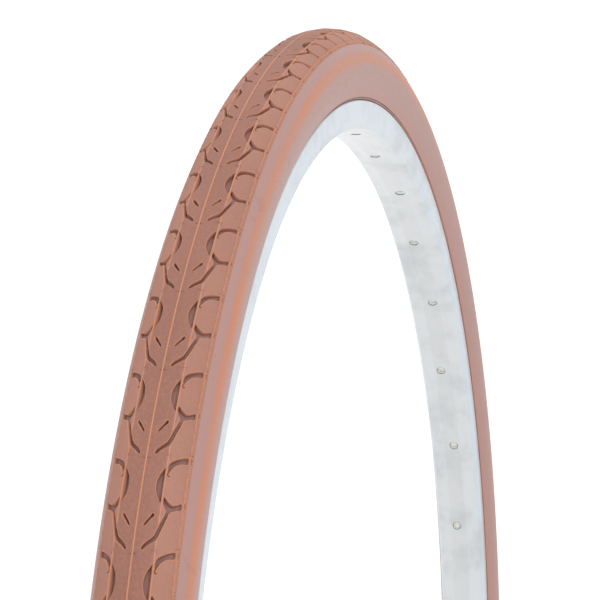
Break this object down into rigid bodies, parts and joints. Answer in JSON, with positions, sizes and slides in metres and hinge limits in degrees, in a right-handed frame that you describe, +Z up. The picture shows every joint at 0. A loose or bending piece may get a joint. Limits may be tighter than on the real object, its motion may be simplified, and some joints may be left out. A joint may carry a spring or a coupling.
{
  "type": "bicycle tire",
  "caption": "Road-going bicycle tire with a moulded groove tread, mounted on its drilled aluminium rim with inner tube, rim strip and screw-down valve.",
  "frame": {"origin": "the wheel's centre, on its axle line, midway between the two sides of the tyre", "axes": "+Y along the axle line, +Z up; the valve stands at the bottom of the rim and points up at the axle line"},
  "size_m": [0.6988, 0.0348, 0.6988],
  "materials": {
    "painted_aluminium": "silver-white satin lacquer on an extruded aluminium hoop",
    "bright_steel": "bright drawn steel",
    "white_nylon": "white woven nylon tape",
    "black_butyl": "matt moulded butyl",
    "rubbered_cord": "rubber-coated nylon cord",
    "woven_breaker": "open woven breaker cloth",
    "tread_rubber": "matt terracotta-brown tread compound",
    "sidewall_rubber": "smooth pinkish-brown sidewall compound",
    "chafer_fabric": "rubbered chafer cloth",
    "bead_wire": "bronze-coated drawn steel",
    "nickel_brass": "nickel-plated brass with a rolled thread",
    "black_plastic": "moulded black plastic",
    "seal_rubber": "moulded seal rubber",
    "raw_brass": "turned brass",
    "gasket_plastic": "red sealing plastic"
  },
  "bodies": {
    "wheel": {"rim": "painted_aluminium", "rim_joint_pin_left": "bright_steel", "rim_joint_pin_right": "bright_steel", "rim_strip": "white_nylon", "inner_tube": "black_butyl", "valve_base": "black_butyl", "casing": "rubbered_cord", "puncture_belt": "woven_breaker", "tread": "tread_rubber", "sidewall_left": "sidewall_rubber", "sidewall_right": "sidewall_rubber", "chafer_left": "chafer_fabric", "chafer_right": "chafer_fabric", "bead_wire_left": "bead_wire", "bead_wire_right": "bead_wire", "valve_stem": "nickel_brass", "valve_core_body": "raw_brass", "valve_core_gasket": "gasket_plastic", "valve_core_spring": "bright_steel"},
    "lock_washer": {"valve_washer": "bright_steel"},
    "lock_nut": {"valve_lock_nut": "nickel_brass"},
    "cap_liner": {"valve_cap_seal": "seal_rubber"},
    "cap": {"valve_cap": "black_plastic"},
    "core_plunger": {"valve_core_pin": "raw_brass", "valve_core_seal": "seal_rubber"}
  },
  "joints": [
    {"name": "lock_nut_advance", "type": "slide", "parent": "wheel", "child": "lock_washer", "axis": [0, 0, 1], "range_m": [0, 0.01429]},
    {"name": "lock_nut_turn", "type": "hinge", "parent": "lock_washer", "child": "lock_nut", "pos_m": [0, 0, -0.3], "axis": [0, 0, 1], "range_deg": [0, 6480]},
    {"name": "cap_advance", "type": "slide", "parent": "wheel", "child": "cap_liner", "axis": [0, 0, 1], "range_m": [0, 0.00952]},
    {"name": "cap_turn", "type": "hinge", "parent": "cap_liner", "child": "cap", "pos_m": [0, 0, -0.27], "axis": [0, 0, 1], "range_deg": [0, 4320]},
    {"name": "core_press", "type": "slide", "parent": "wheel", "child": "core_plunger", "axis": [0, 0, -1], "range_m": [0, 0.0015], "stiffness_N_per_m": 800, "springref_m": -0.001, "deforming": ["valve_core_spring"]}
  ],
  "couplings": [
    {"joint": "lock_nut_turn", "follows": "lock_nut_advance", "rad_per_m": 7915.8},
    {"joint": "cap_turn", "follows": "cap_advance", "rad_per_m": 7915.8}
  ]
}
